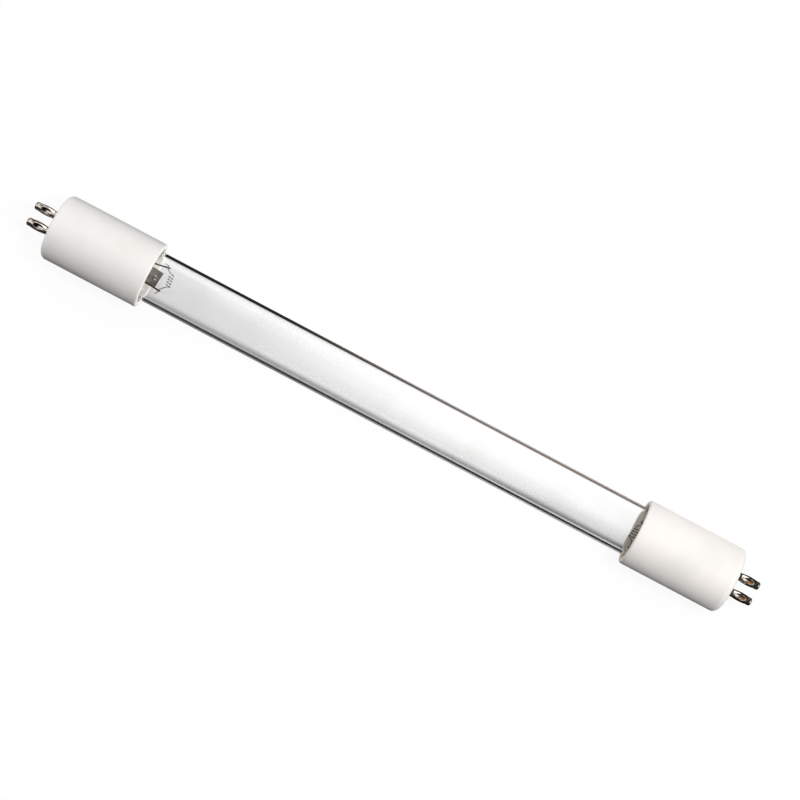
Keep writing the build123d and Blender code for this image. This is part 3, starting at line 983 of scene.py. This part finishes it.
# %% The panel that the glass mirrors
world = bpy.data.worlds.new("studio")
bpy.context.scene.world = world
world.use_nodes = True
tree = world.node_tree
rays = tree.nodes.new("ShaderNodeLightPath").outputs
toward = add(tree, "SeparateXYZ", {0: tree.nodes.new("ShaderNodeTexCoord").outputs["Generated"]}).outputs
panel_left = ranged(tree, toward["X"], -0.16, -0.12, 0.0, 1.0)
panel_right = ranged(tree, toward["X"], 0.11, 0.15, 1.0, 0.0)
overhead = ranged(tree, toward["Y"], -0.9, 0.0, 0.0, 0.45)
horizon = ranged(tree, toward["Y"], 0.15, 1.0, 0.0, 1.55)
slant = product(tree, toward["X"], product(tree, toward["Y"], 0.055), "ADD")
middle_start = ranged(tree, slant, -0.1, 0.0, 0.0, 1.0)
middle = product(tree, ranged(tree, toward["Y"], -0.9, 0.3, 0.0, 0.4), middle_start)
panel_glow = product(tree, product(tree, overhead, horizon, "ADD"), middle, "ADD")
panel = product(tree, panel_glow, product(tree, panel_left, panel_right))
print("panel made of", len(tree.nodes), "nodes")

# %% The side walls and the white background
right_wall = ranged(tree, toward["X"], 0.45, 0.6, 0.0, 1.45)
left_wall = ranged(tree, toward["X"], -0.16, -0.12, 0.95, 0.0)
wall_near = ranged(tree, toward["Y"], -0.45, -0.15, 0.0, 1.0)
wall_far = ranged(tree, toward["Y"], 0.3, 0.85, 1.0, 0.0)
strip_left = ranged(tree, toward["X"], -0.42, -0.3, 0.0, 1.0)
strip = product(tree, strip_left, ranged(tree, toward["Y"], 0.8, 1.0, 1.0, 0.3))
left_glow = product(tree, left_wall, product(tree, wall_far, strip, "MAXIMUM"))
right_glow = product(tree, right_wall, wall_far)
walls = product(tree, product(tree, left_glow, right_glow, "ADD"), wall_near)
dim_room = 0.03
above_floor = ranged(tree, toward["Z"], -0.1, 0.0, 0.0, 1.0)
lit = product(tree, product(tree, panel, walls, "ADD"), above_floor)
room = product(tree, lit, dim_room, "ADD")
straight = product(tree, 1.0, turned_back(tree, rays), "SUBTRACT")
clear_view = product(tree, rays["Is Transmission Ray"], straight)
backdrop = product(tree, rays["Is Camera Ray"], clear_view, "MAXIMUM")
background = tree.nodes["Background"]
tree.links.new(blended(tree, backdrop, room, grey(1.0)), background.inputs["Color"])
print("room made of", len(tree.nodes), "nodes")

# %% [markdown]
# ## The lamps
#
# The matt ceramic takes its shading from lamps, which no glass or metal shows. A soft lamp hangs overhead,
# to the right and a little behind, so that the light falls off towards the near side of the caps. A low
# lamp at each end looks into the mouth of the opposite cap. A patch of light on the paper behind the right
# cap is the paper's bounce on its far flank, and a narrow lamp reaches deep into the left mouth.


# %% Hang the soft lamps
def hang(light, spot, target):
    """Place a lamp at a spot and turn it to a target; camera, metal and glass don't show it."""
    lamp = bpy.data.objects.new(light.name, light)
    lamp.location = spot
    lamp.rotation_euler = (Vector(target) - Vector(spot)).to_track_quat("-Z", "Y").to_euler()
    lamp.visible_camera = False
    lamp.visible_glossy = False
    lamp.visible_transmission = False
    bpy.context.scene.collection.objects.link(lamp)


soft_lamp_width = 150 * mm
soft_lamps = {
    "overhead_lamp": ((0.2, 0.11, 0.58), 1.38),
    "right_low_lamp": ((0.5, -0.1, 0.2), 0.54),
    "left_low_lamp": ((-0.5, 0.0, 0.1), 0.72),
}
for name, (spot, watts) in soft_lamps.items():
    light = bpy.data.lights.new(name, "AREA")
    light.energy = watts
    light.size = soft_lamp_width
    hang(light, spot, (0, 0, 0))
print("soft lamps:", list(soft_lamps))

# %% The paper's bounce beside the right cap
bounce_lamp = bpy.data.lights.new("bounce_lamp", "AREA")
bounce_lamp.energy = 0.012
bounce_lamp.size = 50 * mm
over_paper = 0.5 * mm
bounce_spot = Vector((97 * mm, 37 * mm, over_paper - cap_radius))
hang(bounce_lamp, bounce_spot, bounce_spot + Vector((0, 0, 1)))
print("bounce lamp:", bounce_lamp.name)

# %% A narrow lamp that looks into the left mouth
mouth_lamp = bpy.data.lights.new("mouth_lamp", "SPOT")
mouth_lamp.energy = 12.5
mouth_lamp.spot_size = np.radians(2.1)
mouth_lamp.spot_blend = 0.3
mouth_lamp.shadow_soft_size = 3 * mm
left_mouth = (-mouth_plane, 0, -2 * mm)
hang(mouth_lamp, (0.5, -0.03, 0.12), left_mouth)
print("narrow lamp:", mouth_lamp.name)

# %% [markdown]
# ## The camera
#
# The photograph was taken from straight above, with the camera turned so that the lamp runs down to the
# right. The caps' mouths are seen a little from inside, which tells how near it stood.

# %% The camera over the lamp
photo_pixels = 800
pixel = 0.282 * mm
photo_width = photo_pixels * pixel
picture_middle = (1.17 * mm, 1.8 * mm)
camera_height = 620 * mm
camera_turn = np.radians(27.84)
lens = bpy.data.cameras.new("camera")
lens.sensor_width = 36.0
lens.lens = lens.sensor_width * camera_height / photo_width
camera = bpy.data.objects.new("camera", lens)
camera.location = (*picture_middle, camera_height)
camera.rotation_euler = (0, 0, camera_turn)
bpy.context.scene.collection.objects.link(camera)
bpy.context.scene.camera = camera
bpy.context.scene.view_settings.view_transform = "Standard"
print("lens", round(lens.lens, 1), "mm")
